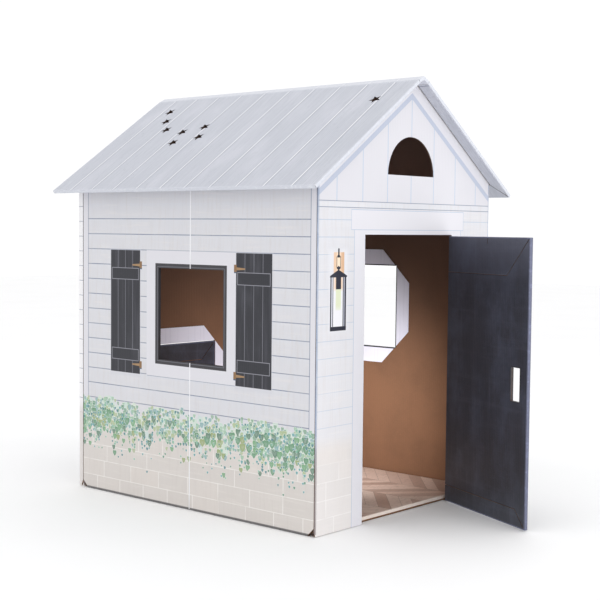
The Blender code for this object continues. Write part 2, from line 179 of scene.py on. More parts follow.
class Ink:
    """A material under construction: a colour that marks are laid on, and a bump.

    Colours are given in sRGB, 0 to 255.
    """

    def __init__(self, name, base, roughness, coat=0.0):
        self.material = bpy.data.materials.new(name)
        self.material.use_nodes = True
        self.tree = self.material.node_tree
        self.nodes = self.tree.nodes
        self.shader = self.nodes["Principled BSDF"]
        self.shader.inputs["Roughness"].default_value = roughness
        self.shader.inputs["Coat Weight"].default_value = coat
        self.shader.inputs["Coat Roughness"].default_value = 0.35
        self.coords = self.nodes.new("ShaderNodeTexCoord").outputs["Object"]
        split = self.nodes.new("ShaderNodeSeparateXYZ")
        self.tree.links.new(self.coords, split.inputs[0])
        self.x, self.y, self.z = (Field(self, output) for output in split.outputs)
        self.colour = rgb(*base)
        self.height = None
        self.material.diffuse_color = self.colour

    def feed(self, socket, term):
        if isinstance(term, Field):
            term = term.value
        if isinstance(term, bpy.types.NodeSocket):
            self.tree.links.new(term, socket)
        else:
            socket.default_value = term

    def lay(self, colour, mask):
        """Mixes colour over what is there, where mask is 1."""
        node = self.nodes.new("ShaderNodeMix")
        node.data_type = "RGBA"
        self.feed(node.inputs["Factor"], mask)
        self.feed(node.inputs[6], self.colour)
        self.feed(node.inputs[7], rgb(*colour) if isinstance(colour, tuple) else colour)
        self.colour = node.outputs[2]
        return self

    def vector(self, x, y, z=0.0):
        node = self.nodes.new("ShaderNodeCombineXYZ")
        for socket, term in zip(node.inputs, (x, y, z)):
            self.feed(socket, term)
        return node.outputs[0]

    def chance(self, first, second):
        """A fixed random number from 0 to 1 for a pair of whole numbers."""
        node = self.nodes.new("ShaderNodeTexWhiteNoise")
        node.noise_dimensions = "2D"
        self.tree.links.new(self.vector(first, second), node.inputs["Vector"])
        return Field(self, node.outputs["Value"])

    def noise(self, scale, detail=3.0, stretch=(1.0, 1.0, 1.0), rough=0.55):
        """Noise from 0 to 1 with about scale waves a metre, stretched along the axes."""
        node = self.nodes.new("ShaderNodeTexNoise")
        node.inputs["Scale"].default_value = scale
        node.inputs["Detail"].default_value = detail
        node.inputs["Roughness"].default_value = rough
        place = self.vector(*(axis * factor for axis, factor in zip((self.x, self.y, self.z), stretch)))
        self.tree.links.new(place, node.inputs["Vector"])
        return Field(self, node.outputs["Fac"])

    def shade(self, field, low, high, strength, colour=(0, 0, 0)):
        """A soft mottle: colour laid where the noise is high."""
        return self.lay(colour, field.rise(low, high) * strength)

    def bump(self, field, depth):
        raised = field * depth
        self.height = raised if self.height is None else self.height + raised
        return self

    def done(self):
        self.feed(self.shader.inputs["Base Color"], self.colour)
        if self.height is not None:
            node = self.nodes.new("ShaderNodeBump")
            node.inputs["Distance"].default_value = 1.0
            node.inputs["Strength"].default_value = 1.0
            self.feed(node.inputs["Height"], self.height)
            self.tree.links.new(node.outputs[0], self.shader.inputs["Normal"])
        return self.material


LINE = (84, 104, 136)
PALE_LINE = (166, 182, 204)
SIDING = (214, 214, 219)
TRIM = (219, 218, 224)
CHARCOAL = (34, 35, 44)
PALE_CHARCOAL = (128, 128, 138)
NAVY = (34, 36, 52)
GOLD = (172, 136, 94)
STONE = (214, 208, 203)
JOINT = (240, 237, 234)
LAP_FIRST = 0.2825
LAP_SPACING = 0.0452
LAP_TOP = 0.838
SIDE_LAP_TOP = 0.862
STONE_TOP = 0.250


def paper(ink, flute_axis, depth=0.00005):
    """The faint ribs of the flutes and the tooth of the paper."""
    ribs = (flute_axis * (2 * math.pi / FLUTE_PITCH)).math("SINE")
    ink.bump(ribs, depth)
    ink.bump(ink.noise(900, 2.0), 0.00002)
    return ink


def mottle(ink):
    """Slight unevenness of ink on board."""
    ink.shade(ink.noise(7, 4.0), 0.55, 0.80, 0.05, (170, 172, 184))


def rectangle(u, v, u0, u1, v0, v1, soft=0.0004):
    """1 inside a rectangle."""
    return u.within(u0, u1, soft) * v.within(v0, v1, soft)


def frame_of(u, v, box, width, soft=0.0004):
    """The outline of a rectangle (u0, u1, v0, v1), width wide, inside it."""
    u0, u1, v0, v1 = box
    outer = rectangle(u, v, u0, u1, v0, v1, soft)
    inner = rectangle(u, v, u0 + width, u1 - width, v0 + width, v1 - width, soft)
    return (outer - inner).clamped()


def siding(ink, v, top=LAP_TOP, line=0.0009, tone=LINE):
    """Shiplap lines with a soft shadow under each lap."""
    above_stone = v.rise(LAP_FIRST - 0.012, LAP_FIRST - 0.004)
    shadow = ((v - LAP_FIRST).math("MODULO", LAP_SPACING)).rise(LAP_SPACING * 0.55, LAP_SPACING)
    ink.lay((214, 217, 225), shadow * above_stone * 0.30)
    laps = v.lines(LAP_FIRST, LAP_SPACING, line, 0.0009) * v.within(LAP_FIRST - 0.005, top)
    ink.lay(tone, laps * (0.62 + ink.noise(9, 1.0) * 0.38))


COURSE = 0.0475


def stones(ink, u, v):
    """Pale blocks in courses, each course with its own block length, washed into the siding above."""
    base = 1.0 - v.rise(STONE_TOP - 0.040, STONE_TOP + 0.015)
    ink.lay(STONE, base * 0.95)
    row = ((v + 0.004) * (1 / COURSE)).math("FLOOR")
    length = ink.chance(row, 3.7) * 0.085 + 0.095
    along = (u + 3.0 + ink.chance(row, 8.1) * 0.5).math("DIVIDE", length)
    block = along.math("FLOOR")
    tone = ink.chance(row, block)
    ink.lay((206, 200, 195), base * tone.rise(0.45, 1.0) * 0.35)
    ink.lay((222, 213, 206), base * (1.0 - tone.rise(0.0, 0.5)) * 0.35)
    ink.shade(ink.noise(90, 5.0, (1, 1, 0.10), 0.7), 0.46, 0.70, 0.22, (198, 190, 184))
    ink.shade(ink.noise(90, 5.0, (0.08, 0.08, 1), 0.7), 0.50, 0.72, 0.22, (236, 230, 225))
    patchy = ink.noise(22, 3.0).rise(0.20, 0.55) * 0.75
    level = (v + 0.004).lines(0.0, COURSE, 0.0011, 0.0012)
    upright = (0.0014 - along.math("PINGPONG", 0.5).math("MULTIPLY", length)).rise(-0.0008, 0.0008)
    below = 1.0 - v.rise(STONE_TOP - 0.090, STONE_TOP - 0.045)
    ink.lay(JOINT, level.most(upright) * below * patchy)


# Each ivy layer: leaf spacing, largest and smallest leaf, fullness, strength, a shift, the part of
# the band it fills (0 at the top, 1 at the bottom) and its leaf colours
IVY_LAYERS = (
    (0.0200, 0.0140, 0.0095, 1.10, 0.50, 0.11, (-0.02, 0.85), "pale"),
    (0.0125, 0.0066, 0.0044, 0.95, 0.72, 0.37, (-0.08, 1.00), "mixed"),
    (0.0160, 0.0080, 0.0058, 0.92, 0.75, 0.53, (0.02, 0.98), "mixed"),
    (0.0225, 0.0118, 0.0086, 0.86, 0.88, 0.71, (0.26, 0.92), "dark"),
    (0.0110, 0.0046, 0.0026, 0.50, 0.90, 0.89, (0.00, 1.30), "teal"),
    (0.0230, 0.0090, 0.0066, 0.55, 0.85, 0.23, (0.70, 1.50), "dark"),
    (0.0180, 0.0036, 0.0020, 0.50, 0.85, 0.47, (0.90, 1.80), "teal"),
)
IVY_TOP = 0.277
IVY_DEPTH = 0.094
LEAF_COLOURS = {
    "pale": ((178, 210, 190), (160, 204, 184), (192, 216, 186), (170, 202, 200)),
    "mixed": ((70, 140, 100), (126, 178, 142), (84, 150, 154), (150, 172, 104)),
    "dark": ((34, 106, 74), (52, 132, 84), (84, 152, 96), (134, 154, 80)),
    "teal": ((28, 118, 126), (70, 152, 156), (52, 132, 98), (110, 176, 148)),
}


def ivy(ink, u, v):
    """Watercolour leaves, thickest at both ends of the wall, with strands hanging from them."""
    for spacing, large, small, fullness, strength, shift, band, mix in IVY_LAYERS:
        cells = ink.nodes.new("ShaderNodeTexVoronoi")
        cells.voronoi_dimensions = "2D"
        cells.inputs["Scale"].default_value = 1.0
        cells.inputs["Randomness"].default_value = 0.8
        place = ink.vector((u + shift) * (1 / spacing), (v + shift) * (1 / spacing))
        ink.tree.links.new(place, cells.inputs["Vector"])
        centre = ink.nodes.new("ShaderNodeSeparateXYZ")
        ink.tree.links.new(cells.outputs["Position"], centre.inputs[0])
        centre_u = Field(ink, centre.outputs[0]) * spacing - shift
        centre_v = Field(ink, centre.outputs[1]) * spacing - shift
        dice = ink.nodes.new("ShaderNodeSeparateColor")
        ink.tree.links.new(cells.outputs["Color"], dice.inputs[0])
        first, second, third = (Field(ink, output) for output in dice.outputs)
        across = (u - centre_u).size()
        along = (v - centre_v) - across * 0.65 + small * 0.25
        radius = second * (large - small) + small
        edge = radius - (across * across + along * along).math("SQRT")
        ends = centre_u.size().rise(0.12, 0.40)
        waver = (centre_u * 21.0).math("SINE") * 0.006 + (centre_u * 57.0).math("SINE") * 0.005
        depth = (waver + ends * 0.004 + (IVY_TOP - 0.006) - centre_v) * (1 / IVY_DEPTH)
        strand = (centre_u * 83.0).math("SINE").rise(-0.2, 0.9) * 0.28
        reach = strand + ends * 0.10 + band[1]
        below_top = depth.rise(band[0] - 0.04, band[0] + 0.06)
        inside = below_top * (1.0 - depth.math("DIVIDE", reach).rise(0.75, 1.0))
        chance = inside * (ends * 0.35 + 0.65) * fullness
        kept = (chance - first - 0.02).rise(0.0, 0.02)
        tint = ink.nodes.new("ShaderNodeValToRGB")
        tint.color_ramp.interpolation = "CONSTANT"
        ink.feed(tint.inputs[0], third)
        ramp = tint.color_ramp.elements
        colours = [rgb(*colour) for colour in LEAF_COLOURS[mix]]
        ramp[0].color, ramp[1].color = colours[0], colours[3]
        ramp[1].position = 0.80
        ramp.new(0.30).color = colours[1]
        ramp.new(0.56).color = colours[2]
        halo = edge.rise(-0.0016, -0.0004) * kept
        ink.lay((228, 230, 226), halo * 0.75)
        leaf = edge.rise(-0.0004, 0.0004) * kept
        wash = (edge * 90.0).clamped() * -0.30 + 1.0
        ink.lay(tint.outputs[0], leaf * wash * strength)


SHUTTER_LOW, SHUTTER_HIGH = 0.370, 0.733
# Each shutter's two sides, and on which of them its hinges are
SHUTTERS = ((0.2105, 0.3405, -1), (-0.3125, -0.1795, 1))
STRAP_REACH = 0.034
CASING = (-0.1815, 0.1815, 0.370, 0.735)
BLACK_FRAME = 0.0135
BEAD_INSET = 0.0085


def shutter(ink, u, v, near, far, hinge_side):
    """A charcoal plank shutter with two battens. near and far are its two sides."""
    low, high = SHUTTER_LOW, SHUTTER_HIGH
    soft_shadow = rectangle(u, v, near - 0.004, far + 0.003, low - 0.010, high + 0.002, 0.006)
    ink.lay((206, 206, 214), soft_shadow * 0.55)
    body = rectangle(u, v, near, far, low, high)
    ink.lay(CHARCOAL, body)
    grain = ink.noise(60, 4.0, (1, 1, 0.08))
    ink.lay((74, 74, 84), body * grain.rise(0.45, 0.8) * 0.55)
    plank = (far - near) / 4
    seams = (u - near).lines(plank, plank, 0.0008, 0.0007)
    inner = (u - (near + far) / 2).within(-plank * 1.5, plank * 1.5)
    ink.lay(PALE_CHARCOAL, seams * inner * body * 0.9)
    for bottom in (low + 0.037, high - 0.087):
        box = (near + 0.006, far - 0.005, bottom, bottom + 0.035)
        ink.lay(CHARCOAL, rectangle(u, v, *box))
        ink.lay((150, 150, 160), frame_of(u, v, box, 0.0018, 0.0008) * 0.9)
    edge = near if hinge_side < 0 else far
    for height in (low + 0.027, high - 0.043):
        start, end = sorted((edge, edge - hinge_side * STRAP_REACH))
        taper = (u - edge).size() * -0.07 + 0.0042
        strap = (taper - (v - height).size()).edge(0.0008) * u.within(start, end)
        ink.lay(GOLD, strap * (0.7 + ink.noise(120, 2.0) * 0.3))
        leaf_low, leaf_high = sorted((edge - hinge_side * 0.002, edge + hinge_side * 0.008))
        ink.lay((138, 104, 68), rectangle(u, v, leaf_low, leaf_high, height - 0.011, height + 0.011))
        ink.lay((78, 96, 120), rectangle(u, v, leaf_low, leaf_high, height - 0.012, height - 0.009))


def window_surround(ink, u, v):
    """Plain white casing, then a black frame round the opening with a lighter bead in it."""
    u0, u1, v0, v1 = CASING
    ink.lay((208, 210, 218), rectangle(u, v, u0, u1, v0 - 0.004, v1, 0.006) * 0.7)
    ink.lay(TRIM, rectangle(u, v, *CASING))
    ink.lay(LINE, rectangle(u, v, u0 + 0.002, u1 - 0.002, v0 - 0.0012, v0) * 0.8)
    ink.lay(LINE, rectangle(u, v, u0, u1, v1 - 0.0008, v1 + 0.0006) * 0.5)
    half, low, high = WINDOW_HALF, WINDOW_SILL, WINDOW_HEAD
    width = BLACK_FRAME
    box = (-half - width, half + width, low - width, high + width)
    ink.lay((52, 51, 56), rectangle(u, v, *box))
    width -= BEAD_INSET
    bead = (-half - width, half + width, low - width, high + width)
    ink.lay((122, 122, 132), frame_of(u, v, bead, 0.0016, 0.0010) * 0.75)


CORNER_BOARD = 0.024


def side_wall_print(name):
    """A side wall: shiplap over stone, with a shuttered window and ivy."""
    ink = Ink(name, SIDING, 0.50, 0.08)
    u, v = ink.y, ink.z
    siding(ink, v, SIDE_LAP_TOP, 0.0012)
    ink.shade(ink.noise(26, 3.0, (1, 1, 0.06)), 0.48, 0.75, 0.10, (196, 198, 208))
    stones(ink, u, v)
    for side in (-1, 1):
        edge, inner = side * BACK, side * (BACK - CORNER_BOARD)
        low, high = sorted((edge, inner))
        above = v.rise(0.20, 0.26)
        ink.lay(TRIM, u.within(low, high) * above)
        ink.lay(LINE, (u - inner).within(-0.0009, 0.0009, 0.0007) * above * 0.9)
    window_surround(ink, u, v)
    for near, far, hinge_side in SHUTTERS:
        shutter(ink, u, v, near, far, hinge_side)
    ivy(ink, u, v)
    # Painted shade: a dark band along the foot of the wall, where it meets the floor.
    ink.lay((66, 66, 70), (1.0 - v.rise(0.0052, 0.0070)) * 0.85)
    mottle(ink)
    return paper(ink, ink.y).done()


LANTERN_X = -0.315
LANTERN_LOW = 0.534


def lantern(ink, u, v):
    """A cage lantern hung from a wooden wall plate, flat as a print."""
    x = u - LANTERN_X
    y = v - LANTERN_LOW
    ink.lay((223, 223, 228), rectangle(x, y, -0.040, 0.040, -0.006, 0.212, 0.016) * 0.8)
    plate = rectangle(x, y, -0.0205, 0.0225, 0.106, 0.206, 0.002)
    ink.lay((226, 190, 156), plate * 0.9)
    ink.lay((206, 160, 122), plate * x.rise(0.004, 0.020) * 0.7)
    ink.lay((246, 228, 204), plate * (0.008 - x.size()).rise(-0.004, 0.006) * 0.8)
    ink.lay((232, 232, 237), rectangle(x, y, -0.029, 0.027, 0.008, 0.140) * 0.95)
    ink.lay((232, 200, 170), rectangle(x, y, -0.0185, 0.0185, 0.108, 0.141, 0.010) * 0.9)
    ink.lay((150, 152, 166), rectangle(x, y, 0.0195, 0.0270, 0.010, 0.140) * 0.9)
    ink.lay((214, 216, 226), rectangle(x, y, -0.0300, -0.0225, 0.010, 0.140) * 0.9)
    bulb = rectangle(x, y, -0.0110, 0.0110, 0.054, 0.110, 0.003)
    ink.lay((216, 222, 188), bulb * y.rise(0.040, 0.070) * 0.9)
    ink.lay(NAVY, rectangle(x, y, -0.0105, 0.0105, 0.109, 0.142))
    for middle, half in ((-0.0309, 0.0024), (0.0290, 0.0030), (-0.0224, 0.0014), (0.0195, 0.0014)):
        ink.lay(NAVY, rectangle(x, y, middle - half, middle + half, 0.006, 0.142))
    ink.lay(NAVY, rectangle(x, y, -0.0335, 0.0325, 0.0, 0.0112))
    cap = (0.1605 - x.size() * 0.46 - y).edge(0.0006)
    ink.lay(NAVY, cap * y.rise(0.1398, 0.1408) * x.within(-0.0350, 0.0350))
    finial = (0.0088 - x.size() - (y - 0.1645).size() * 1.4).edge(0.0006)
    ink.lay(NAVY, finial)
    loop = frame_of(x, y, (-0.0088, 0.0088, 0.166, 0.195), 0.0019, 0.0008)
    ink.lay(NAVY, loop)
    ink.lay(NAVY, rectangle(x, y, -0.0052, 0.0052, 0.1920, 0.1985, 0.001))
    ink.lay(NAVY, rectangle(x, y, -0.0030, 0.0030, 0.195, 0.216))


BELTS = (0.8575, 0.874)
HEADER = (-0.264, 0.264, 0.7985, 0.853)
CASING_EDGE = 0.250
BATTEN_SPACING = 0.1085
HATCH_CASING = 0.045


def gable_print(name, door):
    """A gable wall: battens over two belts, shiplap below, and a casing round the door or hatch."""
    ink = Ink(name, SIDING, 0.50, 0.08)
    u, v = ink.x, ink.z
    siding(ink, v, tone=PALE_LINE if door else LINE)
    stones(ink, u, v)
    upper = v.rise(BELTS[1] - 0.001, BELTS[1])
    ink.lay((213, 212, 218), upper)
    battens = u.lines(0.0, BATTEN_SPACING, 0.0017, 0.0010) * upper
    ink.lay((184, 196, 214), battens)
    ink.shade(ink.noise(20, 2.0, (1, 1, 0.05)), 0.5, 0.8, 0.08, (205, 208, 216))
    for height in BELTS:
        ink.lay(LINE, (v - height).within(-0.0009, 0.0009, 0.0008) * 0.8)
    roof_height = RIDGE_PLANE - 0.006 - u.size() * math.tan(ROOF_PITCH)
    below_roof = (roof_height - v) * math.cos(ROOF_PITCH)
    ink.lay(TRIM, below_roof.within(-0.01, 0.036))
    ink.lay((184, 191, 208), below_roof.within(0.0350, 0.0480, 0.0012))
    ink.lay((164, 176, 198), below_roof.within(0.0474, 0.0488, 0.0008) * 0.7)
    if door:
        # Painted light: the front wall is washed lighter towards its foot.
        ink.lay((236, 234, 236), (1.0 - v.rise(0.0, 0.80)) * 0.42)
        header_foot = HEADER[2]
        ink.lay(TRIM, rectangle(u, v, -CASING_EDGE, CASING_EDGE, -0.01, header_foot))
        ink.lay(TRIM, rectangle(u, v, *HEADER))
        ink.lay(PALE_LINE, frame_of(u, v, HEADER, 0.0013, 0.0009))
        for side in (-1, 1):
            edge = side * CASING_EDGE
            line = (u - edge).within(-0.0008, 0.0008, 0.0008)
            ink.lay(PALE_LINE, line * v.within(-0.01, header_foot))
        lantern(ink, u, v)
    else:
        hem_low, hem_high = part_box("back_opening_hem_left")
        half = min(abs(hem_low.x), abs(hem_high.x)) + HATCH_CASING
        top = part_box("back_opening_hem_top")[0].z + HATCH_CASING
        ink.lay(TRIM, rectangle(u, v, -half, half, -0.01, top))
        ink.lay(PALE_LINE, frame_of(u, v, (-half, half, -0.01, top), 0.0014, 0.0009))
    corner = HALF_WIDTH - CORNER_BOARD
    wall = (1.0 - v.rise(BELTS[0] - 0.001, BELTS[0])) * v.rise(0.20, 0.26)
    if not door:
        ink.lay(TRIM, u.size().rise(corner - 0.0004, corner + 0.0004) * wall)
        ink.lay(LINE, (u.size() - corner).within(-0.0009, 0.0009, 0.0007) * wall * 0.9)
    mottle(ink)
    return paper(ink, ink.x).done()


def flap_print():
    """The lap flap: bare white with the ends of the shiplap lines."""
    ink = Ink("flap_print", (240, 239, 241), 0.5, 0.05)
    laps = ink.z.lines(LAP_FIRST - 0.008, LAP_SPACING, 0.0009, 0.0009) * ink.z.within(0.2, 0.87)
    ink.lay(LINE, laps * 0.7)
    ink.lay(STONE, (1.0 - ink.z.rise(0.22, 0.27)) * 0.8)
    mottle(ink)
    return paper(ink, ink.x).done()


def window_hem_print(name):
    """White, tinted lilac by the ink, with the black frame's print carried over the fold."""
    ink = Ink(name, (236, 235, 250), 0.5, 0.05)
    reach_u = ink.y.size() - WINDOW_HALF
    middle = (WINDOW_SILL + WINDOW_HEAD) / 2
    reach_v = (ink.z - middle).size() - (WINDOW_HEAD - WINDOW_SILL) / 2
    outside = reach_u.most(reach_v)
    ink.lay((52, 52, 66), (1.0 - outside.rise(0.0035, 0.0045)))
    ink.shade(ink.noise(120, 2.0, (1, 1, 0.03)), 0.50, 0.75, 0.16, (176, 175, 200))
    mottle(ink)
    return paper(ink, ink.y, 0.00008).done()


# A dark line across the inside of both gables, as the photo shows one through the arch
GABLE_LINE = 1.071


def kraft_print(name, tone=(132, 93, 67), flute="x"):
    """Bare kraft liner: brown fibres, cloudy, with faint ribs of the flutes, and painted shade towards
    the top.
    """
    ink = Ink(name, tone, 0.86)
    dark = tuple(c * 0.78 for c in tone)
    light = tuple(min(255, c * 1.14) for c in tone)
    ink.shade(ink.noise(5, 4.0), 0.42, 0.72, 0.45, dark)
    ink.shade(ink.noise(420, 3.0, (1, 1, 0.35)), 0.55, 0.72, 0.40, light)
    ink.shade(ink.noise(640, 2.0, (0.5, 0.5, 1)), 0.60, 0.74, 0.35, dark)
    # Painted shade: the kraft darkens towards the top.
    ink.lay((92, 76, 72), ink.z.rise(0.25, 1.05) * 0.80)
    axis = {"x": ink.x, "y": ink.y}[flute]
    if flute == "x":
        ink.lay((48, 40, 40), (ink.z - GABLE_LINE).within(-0.0014, 0.0014, 0.0012) * 0.7)
    stripe = (axis * (2 * math.pi / FLUTE_PITCH)).math("SINE")
    ink.lay(dark, stripe.rise(-0.2, 1.0) * 0.10)
    return paper(ink, axis, 0.00010).done()


SEAM_FIRST = -0.430
SEAM_SPACING = 0.0988


def roof_print(name):
    """Standing-seam metal: brushed grey sheets between raised ribs, printed flat."""
    ink = Ink(name, (186, 189, 199), 0.44, 0.12)
    y = ink.y
    streaks = ink.noise(150, 4.0, (0.04, 1, 0.06), 0.7)
    ink.shade(streaks, 0.42, 0.66, 0.24, (220, 222, 230))
    ink.shade(ink.noise(95, 3.0, (0.05, 1, 0.07), 0.7), 0.52, 0.74, 0.18, (150, 155, 168))
    ink.shade(ink.noise(11, 5.0, (0.5, 1, 0.5)), 0.48, 0.70, 0.30, (214, 214, 224))
    across = (y - SEAM_FIRST).math("PINGPONG", SEAM_SPACING / 2)
    ink.lay((160, 165, 180), (1.0 - across.rise(0.002, 0.014)) * 0.22)
    white = (0.0021 - across).edge(0.0012)
    ink.lay((248, 248, 252), white * (0.65 + ink.noise(6, 1.0) * 0.35))
    dark = (y - (SEAM_FIRST - 0.0036)).lines(0.0, SEAM_SPACING, 0.0010, 0.0010)
    ink.lay((96, 101, 116), dark * (0.45 + ink.noise(9, 1.0) * 0.5))
    from_crease = ink.x.size() - SLOPE_CREASE.x
    ink.lay((118, 124, 142), from_crease.within(-0.0012, 0.0022, 0.0014) * 0.75)
    ink.lay((222, 224, 232), (1.0 - from_crease.rise(-0.0030, -0.0010)) * 0.6)
    ribs = (y * (2 * math.pi / FLUTE_PITCH)).math("SINE")
    ink.lay((140, 145, 160), ribs.rise(0.1, 1.0) * 0.13)
    fleck = ink.noise(300, 2.0, (0.2, 1, 0.2))
    ink.shade(fleck, 0.62, 0.70, 0.25, (120, 124, 136))
    ink.bump((0.0016 - across).rise(-0.0006, 0.0010), 0.00018)
    return paper(ink, ink.y, 0.00004).done()


# The two printed panels on the door's outside: their sides, along the leaf, and their heights
PANEL_SIDES = (0.055, 0.350)
PANEL_HEIGHTS = ((0.09, 0.33), (0.45, 0.70))
PANEL_MOULDING = 0.013


def door_along(ink):
    """Distance from the door's crease along the leaf, at rest."""
    return (ink.x - DOOR_HINGE.x) * -math.cos(DOOR_OPEN) + (ink.y - DOOR_HINGE.y) * -math.sin(DOOR_OPEN)


def charcoal_print(name, panels=False, hems=False):
    """Rubbed charcoal ink, streaked both ways, with painted light at the top. hems are the door's
    turned-in strips, with painted highlights on their edges.
    """
    ink = Ink(name, (46, 48, 58), 0.42, 0.12)
    ink.shade(ink.noise(13, 6.0, (1, 1, 0.7), 0.68), 0.42, 0.68, 0.55, (72, 78, 95))
    ink.shade(ink.noise(48, 5.0, (1, 1, 0.05), 0.7), 0.48, 0.74, 0.26, (86, 90, 106))
    ink.shade(ink.noise(40, 5.0, (0.05, 0.05, 1), 0.7), 0.50, 0.74, 0.26, (84, 88, 104))
    ink.shade(ink.noise(4, 3.0), 0.48, 0.72, 0.40, (30, 31, 38))
    ink.shade(ink.noise(500, 2.0), 0.62, 0.72, 0.30, (118, 120, 134))
    # Painted light: the charcoal is lighter towards the top.
    ink.lay((104, 107, 124), ink.z.rise(0.62, 0.80) * 0.45)
    if hems:
        from_free = DOOR_REACH["door"] - door_along(ink)
        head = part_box("door_hem_top")
        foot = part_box("door_hem_bottom")
        for edge, top in ((head[0].z, head[1].z), (foot[1].z, foot[0].z)):
            depth = abs(edge - top)
            line = (ink.z - edge).within(-0.0010, 0.0010, 0.0008) * from_free.rise(depth - 0.002, depth)
            inside = ink.z.within(min(edge, top), max(edge, top))
            mitre = ((ink.z - top).size() - from_free).within(-0.0014, 0.0014, 0.0010) * inside
            # Painted highlights: light lines along each hem's free edge and its mitre, patchy in
            # strength.
            patchy = ink.noise(30, 2.0) * 0.5
            ink.lay((150, 152, 160), line * (patchy + 0.25))
            ink.lay((196, 196, 200), mitre * (patchy + 0.45))
    if panels:
        along = door_along(ink)
        near, far = PANEL_SIDES
        inset = PANEL_MOULDING
        for low, high in PANEL_HEIGHTS:
            box = (near, far, low, high)
            ink.lay((116, 116, 128), frame_of(along, ink.z, box, 0.0016, 0.0008) * 0.8)
            inner = (near + inset, far - inset, low + inset, high - inset)
            ink.lay((30, 30, 36), frame_of(along, ink.z, inner, 0.0014, 0.0008) * 0.8)
    return paper(ink, ink.y, 0.00004).done()


HERRINGBONE = 0.150
PLANK = 0.046


def floor_print():
    """Herringbone planks: zigzag courses of short boards, each with its own tone."""
    ink = Ink("floor_print", (222, 196, 182), 0.42, 0.12)
    across = (ink.x + 2.0).math("PINGPONG", HERRINGBONE)
    along = (ink.y + 4.0) + across * 0.9
    course = along * (1 / PLANK)
    row = course.math("FLOOR")
    column = ((ink.x + 2.0) * (1 / HERRINGBONE)).math("FLOOR")
    tone = ink.chance(row, column)
    ink.lay((228, 210, 198), tone.rise(0.35, 0.9) * 0.8)
    ink.lay((170, 138, 124), (1.0 - tone.rise(0.05, 0.40)) * 0.75)
    ink.shade(ink.noise(160, 5.0, (0.3, 1, 1), 0.7), 0.48, 0.70, 0.35, (120, 98, 86))
    gap = along.lines(0.0, PLANK, 0.0006, 0.0007)
    ink.lay((104, 84, 74), gap * 0.8)
    spine = (ink.x + 2.0).lines(0.0, HERRINGBONE, 0.0006, 0.0007)
    ink.lay((104, 84, 74), spine * 0.8)
    return paper(ink, ink.x).done()


def plain_print(name, tone):
    """A printed or worn strip along a fold, with scuffs."""
    ink = Ink(name, tone, 0.5, 0.05)
    light = tuple(c + (255 - c) * 0.5 if max(tone) > 128 else c * 1.35 for c in tone)
    ink.shade(ink.noise(90, 5.0), 0.50, 0.72, 0.5, light)
    ink.shade(ink.noise(700, 2.0), 0.60, 0.72, 0.4, tuple(c * 0.75 for c in tone))
    ink.bump(ink.noise(500, 3.0), 0.00006)
    return ink.done()


def corner_fold_print():
    """Blue-grey ink on the corner folds, rubbed to brown near the ground."""
    ink = Ink("corner_fold", (150, 164, 188), 0.5, 0.05)
    ink.shade(ink.noise(60, 4.0, (1, 1, 0.3)), 0.48, 0.70, 0.6, (196, 206, 222))
    ink.lay((120, 96, 82), (1.0 - ink.z.rise(0.16, 0.30)) * 0.8)
    ink.shade(ink.noise(200, 3.0), 0.58, 0.72, 0.4, (104, 110, 128))
    return paper(ink, ink.x, 0.00002).done()


# ---------------------------------------------------------------- boards


def face_loops(node, outward):
    """The outlines of a CAD slab's face on the outward side, and that face's normal."""
    mesh = frame["nodes"][node].data
    facing = [p for p in mesh.polygons if p.normal.dot(outward) > 0.5]
    normal = max(facing, key=lambda p: p.area).normal.copy()
    places = [tuple(round(c, 6) for c in vertex.co) for vertex in mesh.vertices]
    borders = {}
    for polygon in facing:
        if polygon.normal.dot(normal) < 0.9995:
            continue
        corners = [places[index] for index in polygon.vertices]
        for start, end in zip(corners, corners[1:] + corners[:1]):
            if borders.get(end) and start in borders[end]:
                borders[end].remove(start)
            else:
                borders.setdefault(start, []).append(end)
    loops = []
    starts = [start for start, ends in borders.items() if ends]
    for start in starts:
        if not borders[start]:
            continue
        loop = [start]
        following = borders[start].pop()
        while following != start:
            loop.append(following)
            following = borders[following].pop()
        loops.append(drawn_in([Vector(point) for point in loop], normal))
    return loops, normal


def drawn_in(loop, normal):
    """An outline moved EDGE_INSET into its board, so that the folded paper can close round it."""
    moved = []
    for before, point, after in zip(loop[-1:] + loop[:-1], loop, loop[1:] + loop[:1]):
        first = normal.cross((point - before).normalized())
        second = normal.cross((after - point).normalized())
        share = max(1.0 + first.dot(second), 0.25)
        moved.append(point + (first + second) * (EDGE_INSET / share))
    return moved


def loop_size(loop):
    """The longest distance between two corners of an outline."""
    return max((a - b).length for a in loop for b in loop)


def tube_faces(ring, steps):
    """The faces of a closed tube in steps lengths, with ring points round it."""
    faces = [tuple(reversed(range(ring))), tuple(range(steps * ring, (steps + 1) * ring))]
    for step in range(steps):
        for index in range(ring):
            a, b = step * ring + index, step * ring + (index + 1) % ring
            faces.append((a, b, b + ring, a + ring))
    return faces


class Sheets:
    """Closed thin bodies gathered into one mesh, each with its own material number."""

    def __init__(self):
        self.points, self.faces, self.kinds, self.smooth = [], [], [], []

    def add(self, points, faces, kind, smooth=False):
        base = len(self.points)
        self.points += points
        self.faces += [[base + index for index in face] for face in faces]
        self.kinds += [kind] * len(faces)
        self.smooth += [smooth] * len(faces)

    def object(self, name, materials):
        mesh = bpy.data.meshes.new(name)
        mesh.from_pydata([tuple(point) for point in self.points], [], self.faces)
        mesh.polygons.foreach_set("material_index", self.kinds)
        mesh.polygons.foreach_set("use_smooth", self.smooth)
        for material in materials:
            mesh.materials.append(material)
        mesh.update()
        made = bpy.data.objects.new(name, mesh)
        bpy.context.scene.collection.objects.link(made)
        return made


